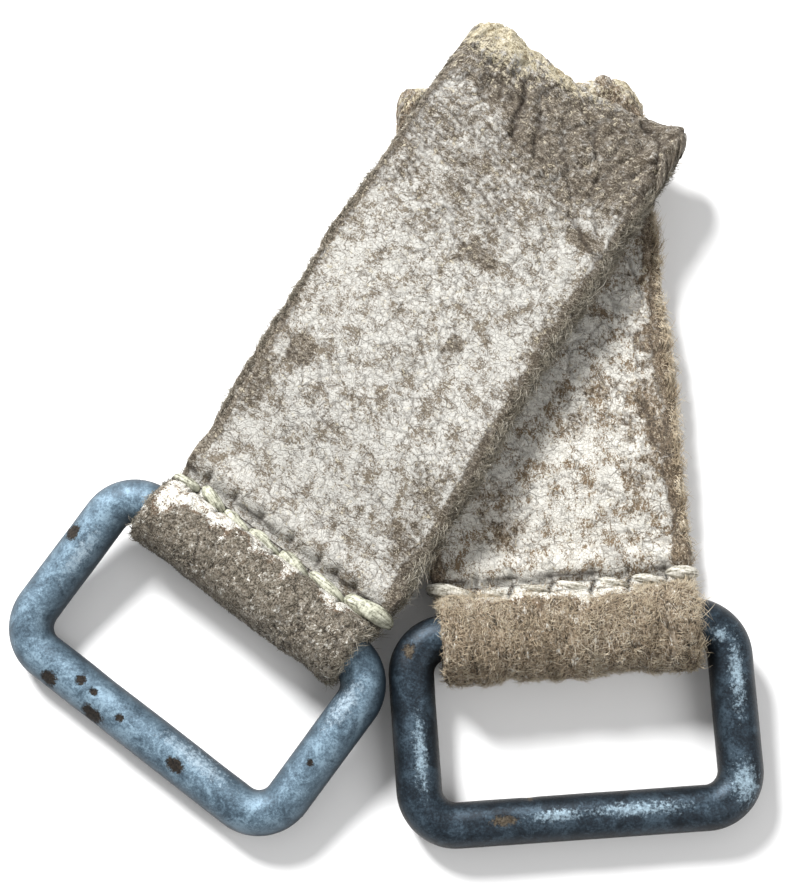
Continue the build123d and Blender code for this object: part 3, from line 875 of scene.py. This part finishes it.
# ---- rings ----
def make_ring(skin, spots, wears_and_highlights, seed):
    """Round wire bent to a rectangle with its first bar in the skin's loop. The spots of rust and
    the bright marks, partly wear and partly painted highlight, are each (u, v, reach along u, reach
    along v)."""
    corner, half = (math.pi / 2 * RING_BEND, 1 / RING_BEND), (RING_WIDTH / 2 - RING_BEND, 0)
    side, bar = (RING_DEPTH - 2 * RING_BEND, 0), (RING_WIDTH - 2 * RING_BEND, 0)
    ends, s, heading = walk([half, corner, side, corner, bar, corner, side, corner, half])
    keep = np.linspace(0, len(s), int(ends[-1] / RING_STEP), endpoint=False).astype(int)
    # Across the bar is x, and y is from the bar away from the strap.
    x, y = (np.cumsum(f(heading))[keep] * FINE for f in (np.cos, np.sin))
    heading, s = heading[keep], s[keep]
    tilt = math.asin((skin.bar[2] - WIRE / 2) / RING_DEPTH)
    right, down = skin.right, -skin.upward * math.cos(tilt)
    down[2] = -math.sin(tilt)
    up = np.cross(right, down)
    up = up * np.sign(up[2])
    angle = np.linspace(0, 2 * math.pi, RING_ROUND, endpoint=False)
    centre = skin.bar + x[:, None] * right + y[:, None] * down
    out = np.sin(heading)[:, None] * right - np.cos(heading)[:, None] * down
    spoke = (np.cos(angle)[None, :, None] * out[:, None] + np.sin(angle)[None, :, None] * up)
    plan_u = -(y[:, None] - np.cos(heading)[:, None] * np.cos(angle) * WIRE / 2)
    plan_v = x[:, None] + np.sin(heading)[:, None] * np.cos(angle) * WIRE / 2
    lumps = 0.06 * noise(s[:, None], angle[None] * 3.5, 5.0, seed)
    lumps = lumps * smooth(np.minimum(angle, 2 * math.pi - angle), 0.0, 0.5)
    top = smooth(np.sin(angle), -0.4, 0.2)

    def mark(places):
        total = np.zeros(plan_u.shape)
        for pu, pv, ru, rv in places:
            far = ((plan_u - pu) / ru) ** 2, ((plan_v - pv) / rv) ** 2
            total = np.maximum(total, np.exp(-far[0] - far[1]))
        return total * top

    # The bright marks are partly wear and partly painted highlight, on the wire's upper half.
    spot, wear = mark(spots), mark(wears_and_highlights)
    radius = WIRE / 2 - 0.07 + lumps - 0.12 * spot
    points = (centre[:, None] + spoke * radius[..., None]) * MM
    # top is 1 on the wire's upper side and 0.5 at its sides; the metal's painted shade is made from
    # it.
    piece = new_mesh(f"{skin.name}_ring_wire", points, grid_faces(len(keep), RING_ROUND, True),
                     flat=points / MM, spot=spot.ravel(), wear=wear.ravel(),
                     top=(0.5 + 0.5 * np.sin(angle) + 0 * plan_u).ravel())
    dress(piece, METALS[skin.name], f"{skin.name}_ring",
          "galvanised_wire" if skin.upper else "blued_wire", f"{skin.name}_ring")


# ---- stitches ----
def grain(start, end, thickness, bow, seed):
    """One stitch: a plump twist of fibres whose ends dive into the hide."""
    t = np.linspace(0, 1, STITCH_ROWS)[:, None]
    line = start + (end - start) * t
    dive = np.abs(2 * t - 1) ** 4
    line = line + np.array([0, 0, 1]) * (bow * (1 - (2 * t - 1) ** 2) - 0.75 * thickness * dive)
    along = unit(np.gradient(line, axis=0))
    side = unit(np.cross(along, (0, 0, 1)))
    up = np.cross(side, along)
    angle = np.linspace(0, 2 * math.pi, STITCH_ROUND, endpoint=False)[None]
    body = np.clip(1 - np.abs(2 * t - 1) ** 3.6, 0, 1) ** 0.5
    twist = angle + 1.6 * t + 0.4 * math.sin(seed)
    ridges = 1 + 0.07 * np.cos(5 * twist) + 0.035 * np.cos(11 * twist + seed)
    swell = 1 + 0.12 * noise(t * 4 + seed, 0 * t, 1.0, seed)
    radius = thickness / 2 * (0.12 + 0.88 * body) * swell * ridges
    points = line[:, None] + radius[..., None] * (
        np.cos(angle)[..., None] * side[:, None] + np.sin(angle)[..., None] * up[:, None])
    faces = grid_faces(STITCH_ROWS, STITCH_ROUND, False).tolist()
    first, last = range(STITCH_ROUND), (STITCH_ROWS - 1) * STITCH_ROUND
    faces += [list(first)[::-1], [last + k for k in first]]
    length = np.linalg.norm(end - start)
    flat = np.stack([t * length + 7 * seed + 0 * angle, np.abs(angle - math.pi) * 0.5 + 0 * t,
                     0 * t + seed + 0 * angle], -1)
    # Where the thread is darkened with painted shade, near its holes.
    ends = smooth(np.abs(2 * t - 1), 0.86, 1.0) + 0 * angle
    return points * MM, faces, flat, ends


def make_stitches(skin):
    """Each stitch on the flap, and a thinner one under the strap."""
    points, faces, flats, ends, count = [], [], [], [], 0

    def at(place, rise):
        u, v = place[0] - skin.stitch_back, place[1]
        xy = skin.bar[:2] + u * skin.upward[:2] + v * skin.right[:2]
        return np.array([*xy, skin.leg_top(u) + rise])

    under = -HIDE / math.cos(skin.slope) - 0.25
    for k, (start, end, thick) in enumerate(skin.stitches, skin.seed):
        thick = skin.stitch_swell * thick
        over = SEAM_GAP + skin.stitch_rise + 0.4 * thick
        for rise, *shape in ((over, thick, 0.22, k), (under, min(thick, 1.2), -0.1, k + 20)):
            p, f, flat, e = grain(at(start, rise), at(end, rise), *shape)
            points.append(p.reshape(-1, 3))
            faces += [[count + i for i in face] for face in f]
            flats.append(flat.reshape(-1, 3))
            ends.append(e.ravel())
            count += len(points[-1])
    piece = new_mesh(f"{skin.name}_stitching", np.concatenate(points), faces,
                     flat=np.concatenate(flats), ends=np.concatenate(ends))
    dress(piece, THREADS[skin.name], f"{skin.name}_front", "waxed_thread",
          f"{skin.name}_stitches", f"{skin.name}_edge_thread")
    return piece


# ---- each skin ----
# Spots of dirt are (a, v, reach along a, reach along v, strength), and the crest's line is
# (v, reach, how far it is set back).
SKINS = [
    Skin("lower", rise=25, tail_end=27, flap_lean=12, seam=7.5, flap_end=0.2, seed=53,
         felt=1.7, dirt=0.62, worn_reach=4.4, slit_turn=-0.45, stitches=LOWER_STITCHES,
         stitch_rise=0.75, stitch_back=0.9, stitch_swell=1, creases=LOWER_CREASES,
         crest_line=[(20, 4, 1.6), (6, 6, 0.5), (-18, 4, -0.6)], lies_on=[],
         spots=[(15.3, -7.7, 3.5, 3.2, 0.7), (14.8, -11.5, 2, 3.2, 0.5),
                (32.9, 4.7, 4, 3, 0.6), (28.7, 17.6, 6.5, 3.6, 1),
                (35.3, 16, 4.5, 2.6, 0.9), (18, 19.5, 6, 2, 0.9),
                (45, 16.5, 6, 2.5, 0.8), (82, -16, 12, 6, 1)]),
    Skin("upper", rise=29, tail_end=32, flap_lean=8, seam=7.3, flap_end=-0.3, seed=11,
         felt=0.7, dirt=0.28, worn_reach=5, slit_turn=-0.2, stitches=UPPER_STITCHES,
         stitch_rise=1, stitch_back=0.4, stitch_swell=1.35, creases=UPPER_CREASES,
         crest_line=[(3, 8, 0.9), (-14, 5, -0.9), (19, 4.5, -1.9)],
         lies_on=["lower_front_hide"],
         spots=[(61.7, 1.7, 3, 4.6, 0.95), (33.7, -13.6, 4.5, 2.6, 0.95),
                (72.6, 14.3, 2, 4.5, 1), (47, 6.3, 3.2, 2.2, 0.9), (40, 2, 3, 2, 0.5),
                (26, 14.5, 5, 4, 0.7), (18, 15.5, 4, 4, 0.8),
                (25, -17, 9, 2.6, 0.8), (55, 17, 9, 2.4, 0.7)]),
]
# Each ring's rust spots, then its bright marks, partly wear and partly painted highlight along the
# top of the wire.
RING_MARKS = {
    "upper": ([(-10.3, -26.2, 1.5, 1.2), (-29.9, -15.4, 1.3, 1.6), (-30.3, -6.9, 1.2, 2.2),
               (-28.5, 8, 1.2, 1.7), (-27, -11.2, 0.9, 0.9), (-28, -3, 0.7, 0.8),
               (-27.3, -8.6, 0.6, 0.8), (-16, 24, 0.6, 0.7)],
              [(-12, -23, 6, 1.5), (-26, 10, 1.5, 8), (-6, 23, 6, 2)]),
    "lower": ([(-27.7, -12, 1.4, 3.4), (-1.7, -24.3, 2, 1.5), (-24.6, -7.8, 0.6, 0.7)],
              [(-17, -23.6, 7, 1.3), (-27.3, 8, 1.3, 9), (-24.6, 24.2, 4, 2.6),
               (-9, 24.4, 7, 1.5), (-2.6, 22.4, 1.5, 2), (-27.4, -4, 1.2, 5)]),
}
for skin in SKINS:
    name = skin.name
    front, tail = f"{name}_front", f"{name}_tail"
    strip = make_strip(skin)
    fold_from, fold_to = skin.fold_a[0] - FOLD_MARGIN, skin.fold_a[1] + FOLD_MARGIN
    fold_last, fold_first, loop_row = (
        int(np.argmin(np.abs(skin.a - a))) for a in (fold_from, fold_to, LOOP_END))
    last = strip["rows"] - 1
    leg = shell(f"{name}_leg_hide", strip, fold_last, last)
    fold = shell(f"{name}_fold_hide", strip, fold_first, fold_last)
    under = shell(f"{name}_under_hide", strip, 0, fold_first, TAIL_SKIP)
    for piece, *rest in ((leg, front, f"{name}_hide", f"{name}_front_hide"),
                         (fold, None, f"{name}_hide"),
                         (under, tail, f"{name}_hide", f"{name}_tail_hide")):
        dress(piece, HIDES[name], *rest)
    x, y, z = skin.crest
    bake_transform(fold)

    def grow(make, kind, body, *rest, nodes=()):
        hair = make(f"{name}_{kind}", skin, strip, *rest)
        return dress(hair, HAIRS[name], body, "hair", *nodes)

    leg_pieces = [
        grow(felt, "loop_hair", front, loop_row, last, LOOP_HAIRS, skin.felt, 0.8,
             nodes=[f"{name}_front_hair"]),
        grow(felt, "leg_hair", front, fold_last, loop_row, LEG_HAIRS, 2.4, 0.5),
        grow(fringe, "leg_fringe", front, fold_last, last, LEG_FRINGE, (2.2, 3.4))]
    under_pieces = [
        grow(felt, "under_hair", tail, 0, fold_first, UNDER_HAIRS, 2.4, 0.5,
             nodes=[f"{name}_tail_hair"]),
        grow(fringe, "under_fringe", tail, 0, fold_first, UNDER_FRINGE, (2.0, 2.6))]
    leg_pieces.append(make_stitches(skin))
    make_ring(skin, *RING_MARKS[name], skin.seed + 60)


# ---- floor, light and camera, in metres ----
FLOOR_HALF, FLOOR_Z, FLOOR_PAINT = 3.0, -0.0002, 0.9
LIGHTS = {"key": ((-0.30, 0.45, 0.50), 0.25, 12.2), "fill": ((0.45, -0.35, 0.6), 0.6, 2.5)}
AMBIENT = 0.43
CAMERA_PLACE, CAMERA_TILT, CAMERA_LENS = (0.00264, -0.08435, 0.30637), 15, 80.54

floor_mesh = bpy.data.meshes.new("floor")
corners = [(x * FLOOR_HALF, y * FLOOR_HALF, 0) for x, y in ((-1, -1), (1, -1), (1, 1), (-1, 1))]
floor_mesh.from_pydata(corners, [], [(0, 1, 2, 3)])
floor = bpy.data.objects.new("floor", floor_mesh)
floor.location.z = FLOOR_Z
bpy.context.scene.collection.objects.link(floor)
floor.data.materials.append(Nodes("floor_paint").finish((FLOOR_PAINT,) * 3, FLOOR_PAINT))

for name, (place, size, power) in LIGHTS.items():
    light = bpy.data.lights.new(name, "AREA")
    light.shape, light.size, light.energy = "DISK", size, power
    lamp = bpy.data.objects.new(name, light)
    bpy.context.scene.collection.objects.link(lamp)
    lamp.location = place
    x, y, z = place  # each light faces the origin
    lamp.rotation_euler = (math.atan2(math.hypot(x, y), z), 0, math.atan2(x, -y))
world = bpy.data.worlds.new("studio")
world.use_nodes = True
sky = world.node_tree.nodes["Background"].inputs
sky["Color"].default_value, sky["Strength"].default_value = (1, 1, 1, 1), AMBIENT
bpy.context.scene.world = world

camera = bpy.data.objects.new("camera", bpy.data.cameras.new("camera"))
camera.data.lens, camera.data.sensor_width = CAMERA_LENS, 36.0
camera.data.clip_start, camera.data.clip_end = 0.01, 10.0
camera.location = CAMERA_PLACE
camera.rotation_euler = (math.radians(CAMERA_TILT), 0, 0)
bpy.context.scene.collection.objects.link(camera)
bpy.context.scene.camera = camera
bpy.context.scene.view_settings.view_transform = "Standard"
